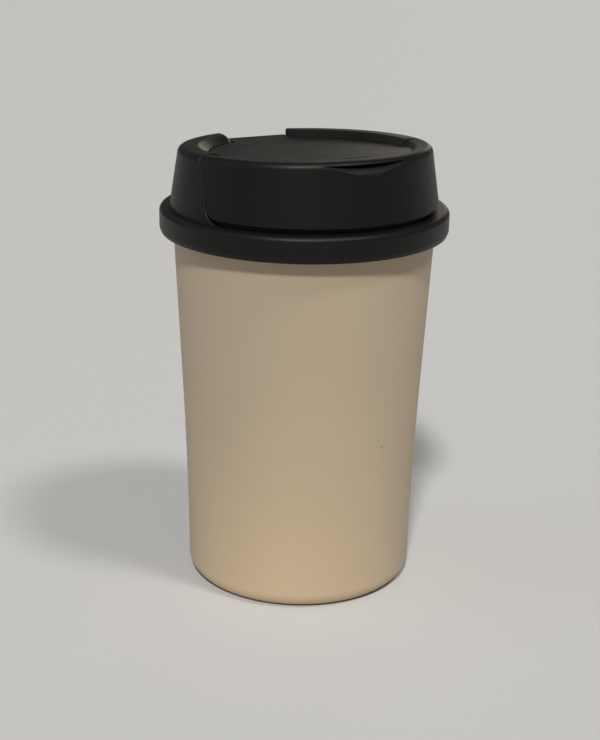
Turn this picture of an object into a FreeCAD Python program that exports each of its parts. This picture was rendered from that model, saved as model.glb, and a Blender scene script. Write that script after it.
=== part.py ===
import FreeCAD, Part
import math
import os

# Reusable take-away coffee cup with a press-on, flip-top lid. Millimetres, +Z up.
# The origin is the middle of the foot, on the table. The side one drinks from faces -Y
# and the flap's hinge is at +Y. The flap is drawn shut.

V = FreeCAD.Vector

# ---- cup: one thin moulding, nearly upright at the foot, then flaring to a beaded rim ----
cup_height = 121.4            # table to rim
cup_base_radius = 37.0        # side wall carried down to the table
side_bend_height = 36.0       # where the lower, steeper side meets the flaring one
side_bend_radius = 37.45
side_bend_run = 29.24         # the bend is spread over this length each way
cup_mouth_radius = 41.85      # side wall carried up to the rim
cup_wall = 2.0
cup_floor = 2.4               # thickness of the floor
foot_recess = 1.8             # the floor stands clear of the table by this
foot_round = 4.8              # rounding between side and foot
foot_land = 2.2               # width of the ring that touches the table
cup_inner_round = 7.0         # rounding where wall meets floor inside
rim_bead_stand = 1.35         # the bead stands out of the side wall by this
rim_bead_height = 3.6
rim_round = 1.1

# ---- lid: flange that caps the rim ----
rim_clearance = 0.4           # bead to flange, all round
flange_wall = 2.4
flange_drop = 5.4             # the flange hangs below the rim by this
flange_thickness = 2.7        # of the plate that lies on the rim
flange_top_round = 1.7
flange_bottom_round = 1.5

# ---- lid: plug that enters the mouth, and its seal ----
plug_clearance = 0.75         # plug to cup wall, at the plug's lower end
plug_depth = 10.8
plug_wall = 1.5
seal_height = 4.4
seal_seat_depth = 1.3         # depth of the groove that holds the seal
seal_above_plug_end = 2.4
seal_gap = 0.05               # seal lips to cup wall
seal_play = 0.05              # seal in its groove, up and down
seal_web_sink = 0.1           # between its lips the seal lies this far inside the plug
seal_lip_foot = 1.5           # height of each lip at its foot and at its tip
seal_lip_tip = 0.35

# ---- lid: the drafted wall and the sloping top ----
ledge_width = 3.25            # flange edge to the foot of the lid's wall
wall_draft_deg = 8.75
lid_rise = 19.2               # flange to top, measured at the middle
top_tilt_deg = 2.2            # the top falls towards the hinge
top_round = 2.2
rear_wall = 1.8               # fixed wall, behind the seams

# ---- flap: curved cover with a half skirt ----
flap_plate = 2.0
skirt_wall = 1.6
skirt_gap = 0.5               # skirt to the dome under it
flap_above_deck = 1.2         # flap's underside to the deck
skirt_lift = 1.3              # skirt's lower edge above the flange
seam_ahead_deg = 9.0          # seams lie on radii this far ahead of the cup's sides
seam_lean_deg = 22.0          # the skirt narrows downwards, so it leaves the wall freely
seam_gap = 0.4
seam_edge_round = 0.45        # of the wall's edges along the seams
skirt_corner = 5.5            # rounding of the skirt's lower corners
dish_reach = 37.0             # the hollow top is fixed at this distance before and behind
dish_rear_depth = 1.85
dish_middle_depth = 2.1
disc_radius = 30.2            # rear half of the flap, inside the raised rim
disc_gap = 0.35
disc_edge_lean = 0.25         # the disc's edge leans in by this for each mm down
shoulder_foot_radius = 32.4   # front half of the flap rises from here,
shoulder_bend_radius = 34.2   # steeply to here,
shoulder_bend_depth = 0.5     # this far below the top,
shoulder_top_radius = 38.6    # and then gently
shoulder_round = 2.0

# ---- lid: deck and dome under the flap ----
deck_thickness = 1.6
dome_wall = 1.6
dome_edge_round = 2.2         # the edge that meets the lips
rim_flare = 3.0               # the raised rim's inner face leans out by this
rim_inner_round = 5.0         # and rounds over
rim_top_slope = 0.2           # to this slope where it meets the rim's top
rim_top_wall = 1.8            # wall of the hollow rim

# ---- hinge: trunnions on the flap in two ears of the lid ----
hinge_y = 35.5
barrel_radius = 3.1
barrel_half_width = 10.9
barrel_side_gap = 0.3
tab_length = 11.3             # the plate reaches forward from the hinge by this, full width
trunnion_radius = 1.5
trunnion_clearance = 0.06
trunnion_length = 3.0
trunnion_end_gap = 0.3
ear_thickness = 4.8
pocket_clearance = 0.5        # barrel to its trough
pocket_wall = 1.6
housing_round = 1.5           # front lower edge of the solid block that holds the hinge
notch_round = 3.5             # rounding of the raised rim's ends
notch_top_round = 2.1         # the rim's ends round down to the hinge
notch_back_round = 3.0        # and round into the lid's wall,
notch_back_depth = 2.6        # down to this far below the top

# ---- drinking hole, its stopper, vent, thumb scoop ----
hole_length = 16.0
hole_width = 6.6
hole_inset = 4.4              # hole inwards from the dome's rounded edge
stopper_clearance = 0.35
stopper_depth = 3.4           # below the deck's top face
stopper_flange = 0.9
stopper_flange_margin = 1.6
stopper_round = 0.9
slot_length = 9.0             # slot in the flap that the stopper's tail is drawn into
slot_width = 1.5
slot_aside = 1.5              # the slot lies off the middle, so the stopper fits one way round
tail_sink = 0.5               # the tail ends this far below the flap's face
vent_radius = 1.0
vent_y = 12.0
scoop_half_width = 15.5
scoop_height = 4.4
scoop_depth = 2.6             # right under the lip
scoop_bend_height = 2.6       # the hollow comes out steeply down to here,
scoop_bend_depth = 0.25       # where it is this deep, and then blends into the skirt
scoop_round = 4.0
lip_thickness = 1.0

# ---- worked out from the above ----
foot_slope = (side_bend_radius - cup_base_radius) / side_bend_height
flare_slope = (cup_mouth_radius - side_bend_radius) / (cup_height - side_bend_height)
side_bend_turn = math.atan(flare_slope) - math.atan(foot_slope)
side_bend_round = side_bend_run / math.tan(side_bend_turn / 2)
rim_bead_radius = cup_mouth_radius + rim_bead_stand
flange_inner_radius = rim_bead_radius + rim_clearance
flange_radius = flange_inner_radius + flange_wall
flange_top_z = cup_height + flange_thickness
wall_foot_radius = flange_radius - ledge_width
wall_slope = math.tan(math.radians(wall_draft_deg))
top_z = flange_top_z + lid_rise
skirt_bottom_z = flange_top_z + skirt_lift
flange_middle_z = flange_top_z - flange_thickness / 2
dome_inset = skirt_wall + skirt_gap
plug_end_z = cup_height - plug_depth
upper_half_z = flange_top_z + lid_rise / 2
over_z = top_z + 10.0         # above everything
rim_foot_radius = disc_radius + disc_gap
FAR = 80.0                    # beyond everything, for cutting tools


def side_radius(z):
    """Outer radius of the cup's side wall at a height."""
    if z < side_bend_height:
        return cup_base_radius + foot_slope * z
    return side_bend_radius + flare_slope * (z - side_bend_height)


def inner_radius(z):
    """Inner radius of the cup at a height."""
    return side_radius(z) - cup_wall


def wall_radius(z):
    """Outer radius of the lid's wall at a height."""
    return wall_foot_radius - wall_slope * (z - flange_top_z)


# ---- drawing helpers ----
def rounded_outline(corners, to_point):
    """Closed wire through (a, b, rounding) corners, each corner a tangent arc."""
    points = [V(a, b, 0) for a, b, _ in corners]
    edges = []
    starts, ends, middles = [], [], []
    for i, corner in enumerate(points):
        rounding = corners[i][2]
        back = (points[i - 1] - corner).normalize()
        ahead = (points[(i + 1) % len(points)] - corner).normalize()
        half_angle = back.getAngle(ahead) / 2
        run = rounding / math.tan(half_angle)
        starts.append(corner + back * run)
        ends.append(corner + ahead * run)
        bisector = back + ahead
        if rounding > 0:
            bisector.normalize()
            middles.append(corner + bisector * (rounding / math.sin(half_angle) - rounding))
        else:
            middles.append(corner)
    for i, corner in enumerate(points):
        if corners[i][2] > 0:
            arc = [to_point(p.x, p.y) for p in (starts[i], middles[i], ends[i])]
            edges.append(Part.Arc(*arc).toShape())
        after = (i + 1) % len(points)
        if ends[i].distanceToPoint(starts[after]) > 1e-6:
            line = [to_point(p.x, p.y) for p in (ends[i], starts[after])]
            edges.append(Part.LineSegment(*line).toShape())
    return Part.Wire(edges)


def turned(corners):
    """Solid turned about the cup's axis from (radius, height, rounding) corners."""
    face = Part.Face(rounded_outline(corners, lambda r, z: V(r, 0, z)))
    return face.revolve(V(0, 0, 0), V(0, 0, 1), 360)


def across(corners, half_width=FAR):
    """Solid of one side view, (y, z, rounding) corners, carried across the lid."""
    face = Part.Face(rounded_outline(corners, lambda y, z: V(-half_width, y, z)))
    return face.extrude(V(2 * half_width, 0, 0))


def to_both_sides(corners, ahead):
    """Solid of one side view that runs out from the middle, going ahead as it goes out."""
    face = Part.Face(rounded_outline(corners, lambda y, z: V(0, y, z)))
    sides = [face.extrude(V(side * FAR, -ahead * FAR, 0)) for side in (-1, 1)]
    return sides[0].fuse(sides[1]).removeSplitter()


def long_hole(length, width, low_z, high_z, y, aside=0.0):
    """Round-ended bar that lies across the lid and stands from low_z to high_z."""
    reach, height = (length - width) / 2, high_z - low_z
    bar = Part.makeBox(2 * reach, width, height, V(aside - reach, y - width / 2, low_z))
    for side in (-1, 1):
        bar = bar.fuse(Part.makeCylinder(width / 2, height, V(aside + side * reach, y, low_z)))
    return bar.removeSplitter()


def tilted(shape):
    """Move a shape drawn about the top's middle into the plane of the sloping top."""
    into_top = FreeCAD.Placement(V(0, 0, top_z), FreeCAD.Rotation(V(1, 0, 0), -top_tilt_deg))
    shape.Placement = into_top.multiply(shape.Placement)
    return shape


def rounded_edges(shape, radius, chosen):
    """Round the edges that the test picks."""
    edges = [edge for edge in shape.Edges if chosen(edge)]
    return shape.makeFillet(radius, edges)


def above(height):
    """Test that picks the edges lying wholly above a height."""
    return lambda edge: edge.BoundBox.ZMin > height


# ---- surfaces that the lid's pieces share ----
def dish_centre():
    """Centre (y, z) and radius of the arc that hollows the top, in the top's plane."""
    y, rear, middle = dish_reach, -dish_rear_depth, -dish_middle_depth
    # circle through (y, rear), (0, middle) and (-y, 0)
    a1, b1 = 2 * y, 2 * (rear - middle)
    c1 = y * y + rear * rear - middle * middle
    a2, b2 = -2 * y, 2 * (0 - middle)
    c2 = y * y - middle * middle
    det = a1 * b2 - a2 * b1
    centre_y = (c1 * b2 - c2 * b1) / det
    centre_z = (a1 * c2 - a2 * c1) / det
    return centre_y, centre_z, math.hypot(centre_y, centre_z - middle)


def above_dish(drop):
    """Everything above the hollow top surface, lowered by drop."""
    y, z, radius = dish_centre()
    return tilted(Part.makeCylinder(radius + drop, 2 * FAR, V(-FAR, y, z), V(1, 0, 0)))


def dish_height(y, drop=0.0):
    """Height of the hollow top surface, lowered by drop, on the middle line at y."""
    centre_y, centre_z, radius = dish_centre()
    turn = math.radians(-top_tilt_deg)
    cy = centre_y * math.cos(turn) - centre_z * math.sin(turn)
    cz = top_z + centre_y * math.sin(turn) + centre_z * math.cos(turn)
    return cz - math.sqrt((radius + drop) ** 2 - (y - cy) ** 2)


def wall_cone(inset, low_z, high_z):
    """Solid inside the lid's drafted wall, taken in by inset."""
    return Part.makeCone(wall_radius(low_z) - inset, wall_radius(high_z) - inset,
                         high_z - low_z, V(0, 0, low_z))


def lid_envelope():
    """The wall and sloping top as one block, with its upper edge rounded."""
    block = wall_cone(0, flange_middle_z, over_z)
    block = block.cut(tilted(Part.makeBox(2 * FAR, 2 * FAR, FAR, V(-FAR, -FAR, 0))))
    return rounded_edges(block, top_round, above(upper_half_z))


def seam_side(gap, bottom_z, corner, side_y):
    """Everything above bottom_z from the leaning seam, moved back by gap, out to side_y."""
    lean = math.tan(math.radians(seam_lean_deg))
    at_bottom = -lean * (top_z - bottom_z) + gap
    at_top = lean * (over_z - top_z) + gap
    return to_both_sides([(side_y, bottom_z, 0), (at_bottom, bottom_z, corner),
                          (at_top, over_z, 0), (side_y, over_z, 0)],
                         math.tan(math.radians(seam_ahead_deg)))


def soft_seam(shape, gap):
    """Round the wall's edge along the seam that lies back by gap."""
    ahead = math.tan(math.radians(seam_ahead_deg))
    lean = math.tan(math.radians(seam_lean_deg))

    def on_wall_at_seam(edge):
        middle = edge.valueAt((edge.FirstParameter + edge.LastParameter) / 2)
        seam_y = gap - ahead * abs(middle.x) - lean * (top_z - middle.z)
        return abs(middle.y - seam_y) < 0.01 and abs(middle.x) > disc_radius

    return rounded_edges(shape, seam_edge_round, on_wall_at_seam)


def hinge_height():
    """The barrel's top is level with the hollow top surface above it."""
    return dish_height(hinge_y) - barrel_radius


# ---- cup ----
def make_cup():
    floor_z = foot_recess + cup_floor
    land_outer = cup_base_radius - foot_round
    land_inner = land_outer - foot_land
    bead_low = cup_height - rim_bead_height
    return turned([
        (0, foot_recess, 0),
        (land_inner - foot_recess / 2, foot_recess, 1.0),
        (land_inner, 0, 0.4),
        (cup_base_radius, 0, foot_round),
        (side_bend_radius, side_bend_height, side_bend_round),
        (side_radius(bead_low - rim_bead_stand), bead_low - rim_bead_stand, 1.0),
        (rim_bead_radius, bead_low, 0.8),
        (rim_bead_radius, cup_height, rim_round),
        (inner_radius(cup_height), cup_height, rim_round),
        (side_bend_radius - cup_wall, side_bend_height, side_bend_round),
        (inner_radius(floor_z), floor_z, cup_inner_round),
        (0, floor_z, 0),
    ])


# ---- lid base ----
def plug_radius():
    return inner_radius(plug_end_z) - plug_clearance


def seal_seat():
    """Radius of the groove's bottom, and its lower and upper edge."""
    low = plug_end_z + seal_above_plug_end
    return plug_radius() - seal_seat_depth, low, low + seal_height


def flange_and_plug():
    """Ring with the channel for the rim outside and the grooved plug inside."""
    outer = plug_radius()
    seat, seat_low, seat_high = seal_seat()
    groove_wall = seat - plug_wall
    dome_inner = wall_radius(flange_top_z) - dome_inset - dome_wall
    bottom_z = cup_height - flange_drop
    return turned([
        (groove_wall, plug_end_z, 0.4),
        (outer, plug_end_z, 0.8),
        (outer, seat_low, 0),
        (seat, seat_low, 0),
        (seat, seat_high, 0),
        (outer, seat_high, 0),
        (outer, cup_height, 0.3),
        (flange_inner_radius, cup_height, 0.6),
        (flange_inner_radius, bottom_z + 0.6, 0),
        (flange_inner_radius + 0.4, bottom_z, 0),
        (flange_radius - 0.6, bottom_z, 0.4),
        (flange_radius, bottom_z + 1.5, flange_bottom_round),
        (flange_radius, flange_top_z, flange_top_round),
        (dome_inner, flange_top_z, 0),
        (outer - plug_wall, seat_high + 1.5, 1.0),
        (groove_wall, seat_high, 1.0),
    ])


def dome_block():
    """Dome under the flap, from the flange to the deck's top face."""
    dome = wall_cone(dome_inset, flange_middle_z, over_z)
    dome = dome.cut(above_dish(flap_plate + flap_above_deck))
    return rounded_edges(dome, dome_edge_round, above(upper_half_z))


def raised_rim_recess():
    """Space inside the raised rim, above the deck, and the notch behind it for the hinge."""
    foot = rim_foot_radius
    low = -4 * (dish_middle_depth + flap_plate)
    half = barrel_half_width + barrel_side_gap
    bowl = turned([(0, low, 0), (foot, low, 0), (foot, -dish_middle_depth, 0),
                   (foot + rim_flare, 0, rim_inner_round),
                   (foot + 3 * rim_flare, 2 * rim_flare * rim_top_slope, 0),
                   (foot + 3 * rim_flare, dish_middle_depth, 0), (0, dish_middle_depth, 0)])
    notch = Part.makeBox(2 * half, FAR, dish_middle_depth - low, V(-half, 0, low))
    recess = bowl.fuse(notch).removeSplitter()

    def notch_corner(edge):
        box = edge.BoundBox
        return box.XLength < 0.01 and foot / 2 < box.YMin and box.YMax < FAR / 2

    recess = rounded_edges(recess, notch_round, notch_corner)
    for side in (-1, 1):
        recess = recess.fuse([rim_end_top(side, half), rim_end_corner(side, half)])
    return tilted(recess).common(above_dish(flap_plate + flap_above_deck))


def rim_end_top(side, half):
    """Strip that rounds the top of the raised rim's end at the notch."""
    size = notch_top_round
    strip = Part.makeBox(size, FAR, size + dish_middle_depth,
                         V(half if side > 0 else -half - size, rim_foot_radius / 2, -size))
    return strip.cut(Part.makeCylinder(size, 2 * FAR, V(side * (half + size), 0, -size),
                                       V(0, 1, 0)))


def rim_end_corner(side, half):
    """Strip that rounds the raised rim's end into the lid's wall."""
    size, depth = notch_back_round, notch_back_depth
    to_centre = wall_radius(top_z - depth) - size
    y = math.sqrt(to_centre ** 2 - (half + size) ** 2)
    width = size + size * (half + size) / to_centre
    height = depth + dish_middle_depth
    strip = Part.makeBox(width, FAR, height, V(half if side > 0 else -half - width, y, -depth))
    return strip.cut(Part.makeCylinder(size, height, V(side * (half + size), y, -depth)))


def dome_cavity():
    """Hollow of the dome and of the fixed wall and raised rim behind the seams."""
    under_deck = flap_plate + flap_above_deck + deck_thickness
    front = wall_cone(dome_inset + dome_wall, cup_height, over_z).cut(above_dish(under_deck))
    front = rounded_edges(front, dome_edge_round - dome_wall / 2, above(upper_half_z))
    behind = seam_side(seam_gap + rear_wall, cup_height, 0, FAR)
    rear = wall_cone(rear_wall, cup_height, over_z).cut(above_dish(under_deck))
    in_rim = wall_cone(rear_wall, cup_height, over_z)
    in_rim = in_rim.cut(tilted(Part.makeCylinder(
        rim_foot_radius + rim_top_wall, 2 * FAR, V(0, 0, -FAR))))
    in_rim = in_rim.cut(tilted(Part.makeBox(2 * FAR, 2 * FAR, FAR, V(-FAR, -FAR, -rim_top_wall))))
    ears = ear_reach()
    in_rim = in_rim.cut(Part.makeBox(2 * FAR, FAR, FAR, V(-FAR, -FAR, upper_half_z)))
    in_rim = in_rim.cut(Part.makeBox(2 * ears, FAR, FAR, V(-ears, 0, upper_half_z)))
    return front.fuse(rear.fuse(in_rim).common(behind))


def ear_reach():
    """Distance from the middle to the outside of the ears."""
    return barrel_half_width + barrel_side_gap + ear_thickness


def hinge_housing():
    """Block under the deck that stays solid, for the two ears and the trough."""
    reach = barrel_radius + pocket_clearance + pocket_wall
    z = hinge_height()
    return across([(hinge_y - reach, z - reach, housing_round), (FAR, z - reach, 0),
                   (FAR, over_z, 0), (hinge_y - reach, over_z, 0)], ear_reach())


def hinge_pocket():
    """Trough for the barrel between the ears, and the trunnion holes in them."""
    half = barrel_half_width + barrel_side_gap
    z = hinge_height()
    reach = barrel_radius + pocket_clearance
    trough = Part.makeCylinder(reach, 2 * half, V(-half, hinge_y, z), V(1, 0, 0))
    behind = wall_radius(z) - rear_wall - hinge_y
    shaft = Part.makeBox(2 * half, behind + reach, FAR, V(-half, hinge_y - reach, z))
    deep = half - barrel_side_gap + trunnion_length + trunnion_end_gap
    hole = Part.makeCylinder(trunnion_radius + trunnion_clearance, 2 * deep,
                             V(-deep, hinge_y, z), V(1, 0, 0))
    return trough.fuse([shaft, hole])


def hole_y():
    """Middle of the drinking hole, measured in from the dome's rounded front edge."""
    deck_z = dish_height(-dish_reach, flap_plate + flap_above_deck)
    flat_front = wall_radius(deck_z) - dome_inset - dome_edge_round
    return -(flat_front - hole_inset - hole_width / 2 + dome_edge_round / 2)


def deck_height_at_hole():
    return dish_height(hole_y(), flap_plate + flap_above_deck)


def make_lid_base():
    fixed_wall = soft_seam(lid_envelope().cut(
        seam_side(seam_gap, flange_top_z, skirt_corner + skirt_lift, -FAR)), seam_gap)
    base = fixed_wall.fuse(dome_block()).cut(raised_rim_recess())
    base = base.cut(dome_cavity().cut(hinge_housing())).cut(hinge_pocket())
    base = base.fuse(flange_and_plug())
    base = base.cut(long_hole(hole_length, hole_width, upper_half_z, over_z, hole_y()))
    base = base.cut(Part.makeCylinder(vent_radius, FAR, V(0, vent_y, upper_half_z)))
    return base.removeSplitter()


# ---- flap ----
def shoulder_bowl():
    """Space over the hollow top, inside the shoulder of the flap's front half."""
    foot, bend, top = shoulder_foot_radius, shoulder_bend_radius, shoulder_top_radius
    return tilted(turned([
        (0, -FAR, 0), (foot, -FAR, 0), (foot, -dish_middle_depth, 0),
        (bend, -shoulder_bend_depth, shoulder_round),
        (2 * top - bend, shoulder_bend_depth, 0), (0, shoulder_bend_depth, 0)]))


def make_flap():
    front = wall_cone(0, flange_middle_z, over_z)
    front = soft_seam(front.common(seam_side(0, skirt_bottom_z, skirt_corner, -FAR)), 0)
    front = front.common(lid_envelope())
    deep = 3 * dish_middle_depth
    disc = tilted(Part.makeCone(disc_radius - disc_edge_lean * (deep - dish_middle_depth),
                                disc_radius + disc_edge_lean * dish_middle_depth,
                                deep, V(0, 0, -deep)))
    block = front.fuse(disc)
    block = block.cut(shoulder_bowl().common(above_dish(0)))
    under = wall_cone(skirt_wall, cup_height, over_z).cut(above_dish(flap_plate))
    under = rounded_edges(under, dome_edge_round - skirt_gap, above(upper_half_z))
    block = block.cut(under)
    z = hinge_height()
    tab_front = hinge_y - tab_length
    barrel = Part.makeCylinder(barrel_radius, 2 * barrel_half_width,
                               V(-barrel_half_width, hinge_y, z), V(1, 0, 0))
    tab = Part.makeBox(2 * barrel_half_width, hinge_y - tab_front, FAR,
                       V(-barrel_half_width, tab_front, upper_half_z))
    tab = tab.common(above_dish(flap_plate)).cut(above_dish(0))
    pin = Part.makeCylinder(trunnion_radius, 2 * (barrel_half_width + trunnion_length),
                            V(-barrel_half_width - trunnion_length, hinge_y, z), V(1, 0, 0))
    flap = block.fuse([barrel, tab, pin]).cut(thumb_scoop())
    flap = flap.cut(long_hole(slot_length, slot_width, upper_half_z, over_z, hole_y(),
                              slot_aside))
    return flap.removeSplitter()


def thumb_scoop():
    """Crescent hollow in the skirt, under the lip, that a thumb lifts."""
    lip_z = top_z + dish_reach * math.tan(math.radians(top_tilt_deg)) - lip_thickness
    lip_radius = wall_radius(lip_z)
    falls_back = scoop_half_width ** 2 / (2 * lip_radius)
    # Below nought where the wall is flatter than the hollow, whose back then bends inwards.
    sweep = scoop_half_width ** 2 / (2 * (falls_back - scoop_depth))
    drop = 2 * scoop_height
    blend = scoop_bend_depth / (scoop_height - scoop_bend_height)

    def reach(height, depth):
        return sweep + scoop_depth - depth + wall_slope * height

    hollow = turned([
        (reach(0, -FAR), -drop, 0),
        (reach(drop, blend * (scoop_height - drop)), -drop, 0),
        (reach(scoop_bend_height, scoop_bend_depth), -scoop_bend_height, scoop_round),
        (sweep, 0, 0),
        (reach(0, -FAR), 0, 0)])
    hollow.translate(V(0, sweep - (lip_radius - scoop_depth), 0))
    corner = V(-scoop_half_width, -FAR, -drop)
    hollow = hollow.common(Part.makeBox(2 * scoop_half_width, FAR, drop, corner))
    hollow.translate(V(0, 0, -lip_thickness))
    return tilted(hollow)


# ---- silicone pieces ----
def make_stopper():
    """Plug for the drinking hole, with a tail drawn up through the flap's slot."""
    y = hole_y()
    deck_z = deck_height_at_hole()
    play = 2 * stopper_clearance
    plug = long_hole(hole_length - play, hole_width - play, deck_z - stopper_depth, over_z, y)
    plug = rounded_edges(plug, stopper_round, lambda edge: edge.BoundBox.ZMax < deck_z)
    margin = 2 * stopper_flange_margin
    flange = long_hole(hole_length + margin, hole_width + margin, upper_half_z, over_z, y)
    flange = flange.common(above_dish(flap_plate + stopper_flange))
    body = plug.fuse(flange).cut(above_dish(flap_plate))
    tail = long_hole(slot_length, slot_width, deck_z, over_z, y, slot_aside)
    tail = tail.cut(above_dish(tail_sink))
    return body.fuse(tail).removeSplitter()


def make_seal():
    """Ring with two soft lips that ride on the cup's wall."""
    seat, low, high = seal_seat()
    low, high = low + seal_play, high - seal_play
    web = plug_radius() - seal_web_sink
    corners = [(seat, low, 0), (web, low, 0)]
    lip_pitch = (high - low) / 2
    for lip_z in (low + lip_pitch / 2, high - lip_pitch / 2):
        tip_low, tip_high = lip_z - seal_lip_tip / 2, lip_z + seal_lip_tip / 2
        corners += [(web, lip_z - seal_lip_foot / 2, 0),
                    (inner_radius(tip_low) - seal_gap, tip_low, 0),
                    (inner_radius(tip_high) - seal_gap, tip_high, 0),
                    (web, lip_z + seal_lip_foot / 2, 0)]
    corners += [(web, high, 0), (seat, high, 0)]
    return turned(corners)


def save(name, shape):
    os.makedirs("parts", exist_ok=True)
    shape.exportStep("parts/%s.step" % name)
    print("%-14s solids %d  valid %s  volume %.1f cm3  faces %d" % (
        name, len(shape.Solids), shape.isValid(), shape.Volume / 1000, len(shape.Faces)))


save("cup", make_cup())
save("lid_base", make_lid_base())
save("lid_seal", make_seal())
save("lid_flap", make_flap())
save("drink_stopper", make_stopper())
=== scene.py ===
# %% [markdown]
# # A reusable coffee cup with a flip-top lid
# The shapes come from the CAD model, which is already true to size: a beige cup, a black lid
# base with its soft seal, and a flap with its soft stopper. What is left for Blender is what
# the hand and the eye notice on such a cup: moulded grain, a satin sheen, uneven tone and a
# speck. This lesson sets up the camera and the light first, and then makes each finish.

# %% Load the CAD model
import bpy
import math
from mathutils import Matrix, Vector


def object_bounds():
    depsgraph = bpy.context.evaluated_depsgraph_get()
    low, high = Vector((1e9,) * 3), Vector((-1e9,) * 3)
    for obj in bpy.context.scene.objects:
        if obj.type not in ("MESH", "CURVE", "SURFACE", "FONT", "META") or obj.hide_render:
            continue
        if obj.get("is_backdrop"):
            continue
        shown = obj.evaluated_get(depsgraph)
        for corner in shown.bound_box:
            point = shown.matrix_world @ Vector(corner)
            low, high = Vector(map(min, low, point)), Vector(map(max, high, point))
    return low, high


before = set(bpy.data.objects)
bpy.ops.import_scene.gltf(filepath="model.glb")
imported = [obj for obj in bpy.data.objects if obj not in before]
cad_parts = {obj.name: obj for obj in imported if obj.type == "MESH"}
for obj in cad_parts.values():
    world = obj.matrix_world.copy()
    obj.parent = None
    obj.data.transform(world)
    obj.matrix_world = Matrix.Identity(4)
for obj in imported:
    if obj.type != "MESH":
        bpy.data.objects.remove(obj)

MM_PER_M = 1000.0
cad_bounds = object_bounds()


def size_in_mm(low, high):
    """Width, depth and height of a box, in millimetres."""
    return [round(MM_PER_M * (b - a), 1) for a, b in zip(low, high)]


# %% [markdown]
# ## Where the camera stands
# A cup looks natural from the height of someone who sits at the table, a little above the
# lid. The camera stands in front and to the left of the side one drinks from, so the seam of
# the flap shows. Its place could be typed in as three coordinates. Here it is an angle round
# the cup, a distance along the table and a height, because those are easy to picture.

# %% Camera's place
camera_around = math.radians(-28.5)      # from straight in front, to the left
camera_distance = 0.4653                 # along the table, metres
camera_height = 0.2246
camera_sideways = -0.0005
to_right = Vector((math.cos(camera_around), math.sin(camera_around), 0))
to_camera = Vector((math.sin(camera_around), -math.cos(camera_around), 0))
camera_place = to_camera * camera_distance + to_right * camera_sideways
camera_place.z = camera_height
print("camera at %s m" % [round(value, 3) for value in camera_place])

# %% [markdown]
# ## Camera
# A long lens keeps the sides of the cup from spreading. The turns are multiplied in the order
# in which one would make them by hand: round the cup, then up from looking straight down, and
# last the small lean of a camera that isn't on a stand.


# %% Camera
def new_object(name, data):
    """Object with this data, placed in the scene."""
    made = bpy.data.objects.new(name, data)
    bpy.context.scene.collection.objects.link(made)
    return made


camera_pitch = math.radians(18.544)      # downwards
camera_lean = math.radians(1.0333)
camera_data = bpy.data.cameras.new("camera")
camera_data.sensor_fit = "VERTICAL"
camera_data.sensor_height = 36.0
camera_data.lens = 72.47
camera_data.clip_start = 0.01
camera = new_object("camera", camera_data)
camera.matrix_world = (
    Matrix.Translation(camera_place)
    @ Matrix.Rotation(camera_around, 4, "Z")
    @ Matrix.Rotation(math.pi / 2 - camera_pitch, 4, "X")
    @ Matrix.Rotation(camera_lean, 4, "Z"))
bpy.context.scene.camera = camera
bpy.context.scene.view_settings.view_transform = "Standard"
print("lens %.1f mm, sees %.1f degrees from top to bottom"
      % (camera_data.lens, math.degrees(camera_data.angle_y)))

# %% [markdown]
# ## Floor
# The cup stands on a plain pale floor. One large flat face is enough, because its edge lies so
# far off that it shows only in a very low view, as a faint line. It is marked as part of the
# stage, so that it is not taken for a piece of the cup. It is a light grey and not white: a
# black lid mirrors the floor along its edges, and a white floor would wash them out.

# %% Floor
floor_reach = 4.0
floor_mesh = bpy.data.meshes.new("floor")
floor_mesh.from_pydata([(-floor_reach, -floor_reach, 0), (floor_reach, -floor_reach, 0),
                        (floor_reach, floor_reach, 0), (-floor_reach, floor_reach, 0)],
                       [], [(0, 1, 2, 3)])
floor = new_object("floor", floor_mesh)
floor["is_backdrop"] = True
floor_finish = bpy.data.materials.new("floor")
floor_finish.use_nodes = True
floor_shader = floor_finish.node_tree.nodes["Principled BSDF"]
floor_shader.inputs["Base Color"].default_value = (0.56, 0.56, 0.55, 1)
floor_shader.inputs["Roughness"].default_value = 0.75
floor_shader.inputs["Specular IOR Level"].default_value = 0.25
floor_mesh.materials.append(floor_finish)
print("floor %.0f m wide" % (2 * floor_reach))

# %% [markdown]
# ## Lamps
# Studio lamps are soft boxes some metres away. Area lamps could copy them, but close by they
# leave one part of the floor brighter than another. A sun lamp with a wide angle is simpler:
# its shadow has a soft edge too, and the floor stays equally bright from front to back. Each
# is placed by its direction, round the cup and up from the table.
# - The front lamp does most of the work. It stands above the camera, so both sides of the cup
#   darken alike, and the flange of the lid throws its narrow band of shade on the cup.
# - The high lamp on the right throws the shadow on the floor, to the left and backwards.
# - The left lamp is faint and cool, and keeps the lid's left edge from going black.
# - The back lamp hangs low behind the cup. It is weak, but seen at so flat an angle the top of
#   a black lid shows little else than what it mirrors, and this is what it mirrors.


# %% Lamps
def lit_from(direction):
    """Turn for a lamp that stands in this direction and shines the other way."""
    return direction.to_track_quat("Z", "Y").to_matrix().to_4x4()


def soft_lamp(name, around_deg, up_deg, wide_deg, strength, colour):
    """Sun lamp that shines from a direction round the cup and up from the table."""
    light = bpy.data.lights.new(name, "SUN")
    light.angle = math.radians(wide_deg)
    light.energy = strength
    light.color = colour
    around, up = math.radians(around_deg), math.radians(up_deg)
    lamp = new_object(name, light)
    lamp.matrix_world = lit_from(Vector((math.sin(around) * math.cos(up),
                                         -math.cos(around) * math.cos(up), math.sin(up))))
    print("%-11s %5.0f round, %3.0f up, strength %.2f" % (name, around_deg, up_deg, strength))


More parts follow.
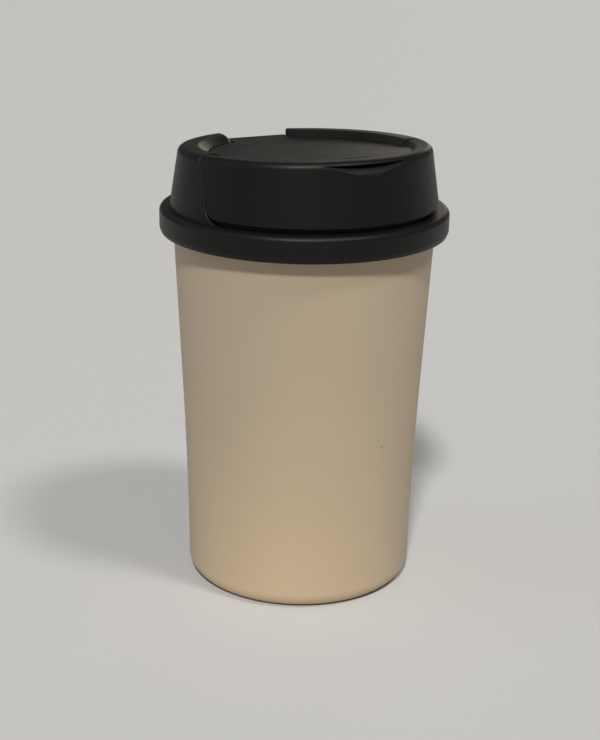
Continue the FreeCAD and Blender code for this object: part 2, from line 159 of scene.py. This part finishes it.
soft_lamp("front lamp", around_deg=-34, up_deg=49, wide_deg=6, strength=2.30,
          colour=(1.0, 0.97, 0.95))
soft_lamp("high lamp", around_deg=26.5, up_deg=60, wide_deg=10, strength=1.00,
          colour=(1.0, 0.97, 0.94))
soft_lamp("left lamp", around_deg=-115, up_deg=28, wide_deg=40, strength=0.25,
          colour=(0.55, 0.75, 1.0))
soft_lamp("back lamp", around_deg=140.7, up_deg=7.5, wide_deg=16, strength=0.14,
          colour=(1.0, 0.91, 0.74))

# %% [markdown]
# ## A glow on the foot
# Near the table a pale cup is a little warmer and brighter than at its rim. A sun lamp
# lights all heights alike, so this is one spot lamp, low in front and on the left. It is aimed
# below the foot, so that only the upper part of its cone falls on the cup: strongest at the
# table, and gone before half the cup's height. With the blend at 1 the cone fades from its
# middle to its edge, and no ring of light shows.

# %% Foot lamp
foot_lamp_place = Vector((-0.40, -0.45, 0.03))
foot_lamp_aim = Vector((-0.012, 0.0, -0.050))
foot_light = bpy.data.lights.new("foot lamp", "SPOT")
foot_light.energy = 4.6
foot_light.color = (1.0, 0.76, 0.38)
foot_light.shadow_soft_size = 0.05
foot_light.spot_size = math.radians(20)
foot_light.spot_blend = 1.0
foot_lamp = new_object("foot lamp", foot_light)
foot_lamp.matrix_world = (
    Matrix.Translation(foot_lamp_place) @ lit_from(foot_lamp_place - foot_lamp_aim))
print("foot lamp %.2f m from the cup" % foot_lamp_place.length)

# %% [markdown]
# ## The glow on the cup alone
# So low a lamp would also leave a bright patch on the floor close to itself, which shows from
# behind the cup. A card on the table could hide the patch, but the card would show as well.
# Light linking is cleaner: the lamp lights only what is in its own collection.

# %% Foot lamp linked to the cup
lit_by_foot_lamp = bpy.data.collections.new("lit by the foot lamp")
lit_by_foot_lamp.objects.link(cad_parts["cup"])
foot_lamp.light_linking.receiver_collection = lit_by_foot_lamp

# %% [markdown]
# ## World
# The world is the room: an even, dim grey that fills the shadows. A picture of a room could
# light the cup as well, but a plain one is easier to steer. What the camera itself sees
# beyond the floor is set apart with the Light Path node and has the floor's own shade, so the
# far edge of the floor hardly shows, and the light on the cup stays as it is.

# %% World
world = bpy.data.worlds.new("room")
bpy.context.scene.world = world
world.use_nodes = True
nodes, links = world.node_tree.nodes, world.node_tree.links
nodes.clear()
world_out = nodes.new("ShaderNodeOutputWorld")
room_light = nodes.new("ShaderNodeBackground")
room_light.inputs["Color"].default_value = (1.0, 1.0, 0.95, 1)
room_light.inputs["Strength"].default_value = 0.15
backdrop = nodes.new("ShaderNodeBackground")
backdrop.inputs["Color"].default_value = (0.57, 0.56, 0.53, 1)
room_or_backdrop = nodes.new("ShaderNodeMixShader")
path = nodes.new("ShaderNodeLightPath")
links.new(path.outputs["Is Camera Ray"], room_or_backdrop.inputs["Fac"])
links.new(room_light.outputs[0], room_or_backdrop.inputs[1])
links.new(backdrop.outputs[0], room_or_backdrop.inputs[2])
links.new(room_or_backdrop.outputs[0], world_out.inputs["Surface"])
print("room light %.2f" % room_light.inputs["Strength"].default_value)

# %% [markdown]
# ## Two effects that every finish shares
# The cup and both lid mouldings come out of tools with a fine spark-eroded grain, and the
# soft parts are nearly smooth silicone. All of them have a grain of some size and a tone that
# is not quite even. Each effect could be built again in every material, but then a change
# would have to be made several times. So each is a node group, made once, and every finish
# places it with its own values. The groups put out only a height, a colour and a mask, and
# the shader stays in the material.
#
# ### An empty group
# A group is a node tree of its own, and its sockets are the values that a material may set.
# The first helper makes such a tree from two plain lists.


# %% Helper: an empty node group
def new_group(name, inputs, outputs):
    """Empty node group with (name, kind, default) inputs and (name, kind) outputs."""
    group = bpy.data.node_groups.new(name, "ShaderNodeTree")
    for label, kind, default in inputs:
        socket = group.interface.new_socket(label, in_out="INPUT", socket_type=kind)
        socket.default_value = default
    for label, kind in outputs:
        group.interface.new_socket(label, in_out="OUTPUT", socket_type=kind)
    print("group '%s' takes %s" % (name, ", ".join(label for label, _, _ in inputs)))
    return group, group.nodes.new("NodeGroupInput"), group.nodes.new("NodeGroupOutput")


print("helper ready:", new_group.__name__)

# %% [markdown]
# ### A node in one line
# A node has settings, such as its operation, and sockets, such as its roughness. Written out,
# each takes a line. The second helper takes both as named values and puts each where it
# belongs.


# %% Helper: a node with its values
def add_node(tree, kind, **values):
    """New node with these settings, and these values on its sockets."""
    node = tree.nodes.new(kind)
    for name, value in values.items():
        if name in node.bl_rna.properties:
            setattr(node, name, value)
        else:
            node.inputs[name].default_value = value
    return node


print("helper ready:", add_node.__name__)

# %% [markdown]
# ### Noise in millimetres
# A noise texture has a scale, which is how many grains fit into one unit. All patterns here
# are driven by object coordinates, and those are metres on the piece itself. So a thousand
# divided by the grain's size in millimetres is its scale: a grain of 0.3 mm is written as
# 0.3. The pattern also stays with its piece when the flap swings.


# %% Helper: noise with a grain of a given size
def noise_of_size(tree, size_mm, detail, roughness):
    """Noise whose grains measure what the socket size_mm says, on the piece itself."""
    on_piece = add_node(tree, "ShaderNodeTexCoord")
    per_metre = add_node(tree, "ShaderNodeMath", operation="DIVIDE")
    per_metre.inputs[0].default_value = MM_PER_M
    noise = add_node(tree, "ShaderNodeTexNoise", Detail=detail, Roughness=roughness)
    tree.links.new(size_mm, per_metre.inputs[1])
    tree.links.new(on_piece.outputs["Object"], noise.inputs["Vector"])
    tree.links.new(per_metre.outputs[0], noise.inputs["Scale"])
    return noise.outputs["Fac"]


print("a grain of 0.3 mm has a noise scale of %.0f" % (MM_PER_M / 0.3))

# %% [markdown]
# ### Moulded grain
# Spark erosion leaves rounded pits with smaller ones between them. They could be modelled,
# but nearly two hundred thousand pits on the cup's wall alone would make a very heavy mesh for
# something the finger barely feels. Noise with some detail has just that look. The group only
# makes the height. How deep the pits are is said in each material, by the Bump node's distance.

# %% Group: moulded grain
grain, grain_in, grain_out = new_group(
    "moulded grain",
    [("Size mm", "NodeSocketFloat", 0.3)],
    [("Height", "NodeSocketFloat")])
pits = noise_of_size(grain, grain_in.outputs["Size mm"], detail=3.0, roughness=0.6)
grain.links.new(pits, grain_out.inputs["Height"])

# %% [markdown]
# ### Uneven tone, first its mask
# Coloured plastic is never quite one colour: it has broad soft patches from the way it
# flowed, and tiny flecks where the grain is worn. One noise could not do both, so the group
# lays two over each other, and an input says how much of the mask is flecks. Noise seldom
# leaves the middle of its range, so that middle is spread over the whole first.

# %% Group: uneven tone, its mask
NOISE_LOW, NOISE_HIGH = 0.3, 0.7
FLOAT_A, FLOAT_B = 2, 3        # a Mix node's sockets for plain numbers

tone, tone_in, tone_out = new_group(
    "uneven tone",
    [("Light", "NodeSocketColor", (1, 1, 1, 1)), ("Dark", "NodeSocketColor", (0, 0, 0, 1)),
     ("Patch mm", "NodeSocketFloat", 20.0), ("Fleck mm", "NodeSocketFloat", 0.5),
     ("Fleck share", "NodeSocketFloat", 0.3)],
    [("Color", "NodeSocketColor"), ("Mask", "NodeSocketFloat")])
tone_mask = add_node(tone, "ShaderNodeMix", data_type="FLOAT")
for label, socket in (("Patch mm", FLOAT_A), ("Fleck mm", FLOAT_B)):
    noise = noise_of_size(tone, tone_in.outputs[label], detail=2.0, roughness=0.5)
    spread = add_node(tone, "ShaderNodeMapRange")
    spread.inputs["From Min"].default_value = NOISE_LOW
    spread.inputs["From Max"].default_value = NOISE_HIGH
    tone.links.new(noise, spread.inputs["Value"])
    tone.links.new(spread.outputs["Result"], tone_mask.inputs[socket])
tone.links.new(tone_in.outputs["Fleck share"], tone_mask.inputs["Factor"])

# %% [markdown]
# ### Uneven tone, then its colour
# The mask mixes two near colours, and it is put out as well, for the roughness: the lighter
# places of a moulding are also the more rubbed ones.

# %% Group: uneven tone, its colour
COLOUR_A, COLOUR_B, COLOUR_OUT = 6, 7, 2        # a Mix node's sockets for colours

two_tones = add_node(tone, "ShaderNodeMix", data_type="RGBA")
tone.links.new(tone_mask.outputs[0], two_tones.inputs["Factor"])
tone.links.new(tone_in.outputs["Dark"], two_tones.inputs[COLOUR_A])
tone.links.new(tone_in.outputs["Light"], two_tones.inputs[COLOUR_B])
tone.links.new(two_tones.outputs[COLOUR_OUT], tone_out.inputs["Color"])
tone.links.new(tone_mask.outputs[0], tone_out.inputs["Mask"])
print("'%s' has %d nodes, '%s' has %d" % (grain.name, len(grain.nodes), tone.name,
                                          len(tone.nodes)))

# %% [markdown]
# ## One recipe for the finishes
# All the plastics here are alike in kind: a coloured body under a thin gloss that the grain
# breaks up. Three materials could be wired by hand, but they would differ only in their
# values, so one function wires them all. The tone's mask goes through a Map Range node into
# the roughness, turned round: where the tone is lighter, the surface is smoother.


# %% Recipe: moulded finish
def finish(name, light, dark, patch_mm, fleck_mm, fleck_share, grain_mm, bump_mm,
           rough_low, rough_high, specular):
    """Principled material with uneven tone, uneven roughness and a moulded grain."""
    material = bpy.data.materials.new(name)
    material.use_nodes = True
    tree = material.node_tree
    shader = tree.nodes["Principled BSDF"]
    shader.inputs["Specular IOR Level"].default_value = specular
    colour = add_node(tree, "ShaderNodeGroup", node_tree=tone)
    colour.inputs["Light"].default_value = (*light, 1)
    colour.inputs["Dark"].default_value = (*dark, 1)
    colour.inputs["Patch mm"].default_value = patch_mm
    colour.inputs["Fleck mm"].default_value = fleck_mm
    colour.inputs["Fleck share"].default_value = fleck_share
    rough = add_node(tree, "ShaderNodeMapRange")
    rough.inputs["To Min"].default_value = rough_high
    rough.inputs["To Max"].default_value = rough_low
    height = add_node(tree, "ShaderNodeGroup", node_tree=grain)
    height.inputs["Size mm"].default_value = grain_mm
    bump = add_node(tree, "ShaderNodeBump", Strength=1.0, Distance=bump_mm / MM_PER_M)
    tree.links.new(colour.outputs["Color"], shader.inputs["Base Color"])
    tree.links.new(colour.outputs["Mask"], rough.inputs["Value"])
    tree.links.new(rough.outputs["Result"], shader.inputs["Roughness"])
    tree.links.new(height.outputs["Height"], bump.inputs["Height"])
    tree.links.new(bump.outputs["Normal"], shader.inputs["Normal"])
    print("%-22s grain %.2f mm, roughness %.2f to %.2f"
          % (name, grain_mm, rough_low, rough_high))
    return material


print("recipe ready, with the groups '%s' and '%s'" % (tone.name, grain.name))

# %% [markdown]
# ### Beige cup
# The cup is moulded in one warm beige, and held in the hand it feels like fine paper: a
# fairly deep grain, almost matt. Its two tones are close together, because the eye reads a
# wide difference on so large a plain wall as dirt.

# %% Cup finish
cup_finish = finish(
    "beige moulded plastic", light=(0.470, 0.378, 0.266), dark=(0.450, 0.358, 0.250),
    patch_mm=30.0, fleck_mm=0.5, fleck_share=0.6, grain_mm=0.40, bump_mm=0.030,
    rough_low=0.50, rough_high=0.62, specular=0.4)

# %% [markdown]
# ### Black lid
# Both lid mouldings are black plastic with a satin sheen and a finer, shallower grain. A
# lighter black would seem the obvious choice, since the lid looks dark grey. But most of that
# grey is mirrored light, so the colour below is far darker than one would guess.

# %% Lid finish
lid_finish = finish(
    "black moulded plastic", light=(0.0060, 0.0058, 0.0054), dark=(0.0040, 0.0040, 0.0038),
    patch_mm=12.0, fleck_mm=0.5, fleck_share=0.5, grain_mm=0.30, bump_mm=0.012,
    rough_low=0.40, rough_high=0.50, specular=0.22)

# %% [markdown]
# ### Silicone
# The seal and the stopper are black silicone. It has hardly any grain, and its gloss is dull
# and wide. One could add subsurface light for its softness, but in black nothing of it would
# show, so a higher roughness and a slightly lighter black do the work.

# %% Silicone finish
soft_finish = finish(
    "black silicone", light=(0.020, 0.020, 0.019), dark=(0.012, 0.012, 0.012),
    patch_mm=8.0, fleck_mm=0.4, fleck_share=0.3, grain_mm=0.20, bump_mm=0.006,
    rough_low=0.55, rough_high=0.70, specular=0.15)

# %% [markdown]
# ## A speck on the cup
# Pale plastic shows every small inclusion. This cup has one dark speck, about half a
# millimetre across, on the right of its front. It could be painted on a picture of the
# surface, but it is simpler as a mask made from the distance to one point. The mask's edge is
# soft, because the speck lies just under the surface.

# %% Speck: its mask
speck_place = (0.0088, -0.0373, 0.0529)
speck_dark_within = 0.000105        # metres from its middle
speck_gone_beyond = 0.000455
cup_tree = cup_finish.node_tree
on_cup = add_node(cup_tree, "ShaderNodeTexCoord")
from_speck = add_node(cup_tree, "ShaderNodeVectorMath", operation="DISTANCE")
from_speck.inputs[1].default_value = speck_place
clean_mask = add_node(cup_tree, "ShaderNodeMapRange", interpolation_type="SMOOTHSTEP")
clean_mask.inputs["From Min"].default_value = speck_dark_within
clean_mask.inputs["From Max"].default_value = speck_gone_beyond
cup_tree.links.new(on_cup.outputs["Object"], from_speck.inputs[0])
cup_tree.links.new(from_speck.outputs["Value"], clean_mask.inputs["Value"])
print("speck %.1f mm from the axis, %.1f mm up"
      % (MM_PER_M * math.hypot(*speck_place[:2]), MM_PER_M * speck_place[2]))

# %% [markdown]
# ## The speck's colour
# The mask goes between the cup's own colour and the shader. The recipe has already joined
# those two, so the colour's socket is looked up from the shader and led through a Mix node.

# %% Speck: its colour
cup_shader = cup_tree.nodes["Principled BSDF"]
clean_colour = cup_shader.inputs["Base Color"].links[0].from_socket
with_speck = add_node(cup_tree, "ShaderNodeMix", data_type="RGBA")
with_speck.inputs[COLOUR_A].default_value = (0.12, 0.10, 0.07, 1)
cup_tree.links.new(clean_mask.outputs["Result"], with_speck.inputs["Factor"])
cup_tree.links.new(clean_colour, with_speck.inputs[COLOUR_B])
cup_tree.links.new(with_speck.outputs[COLOUR_OUT], cup_shader.inputs["Base Color"])
print("'%s' now has %d nodes" % (cup_finish.name, len(cup_tree.nodes)))

# %% [markdown]
# ## Dress the pieces
# The CAD shapes are right as they are, down to the rounded edges, so no piece is made anew.
# Each only gets its finish in its material slot. The shapes already ride on their bodies, so
# the lid lifts and the flap swings without more work.

# %% Dress the CAD nodes
finishes = {
    "cup": cup_finish,
    "lid_base": lid_finish,
    "lid_flap": lid_finish,
    "lid_seal": soft_finish,
    "drink_stopper": soft_finish,
}
for node, material in finishes.items():
    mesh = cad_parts[node].data
    mesh.materials.clear()
    mesh.materials.append(material)
    print("%-14s %s" % (node, material.name))

# %% [markdown]
# ## Sizes
# The last step before the end prints the box round the CAD model and the box round what
# Blender shows side by side, so that one can see whether anything grew.


# %% Sizes
def as_lists(bounds):
    """Corners of a box as plain lists of numbers."""
    return [[float(value) for value in corner] for corner in bounds]


sizes = {"cad": as_lists(cad_bounds), "visual": as_lists(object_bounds())}
for name, corners in sizes.items():
    print("%-7s %s mm" % (name, size_in_mm(*corners)))
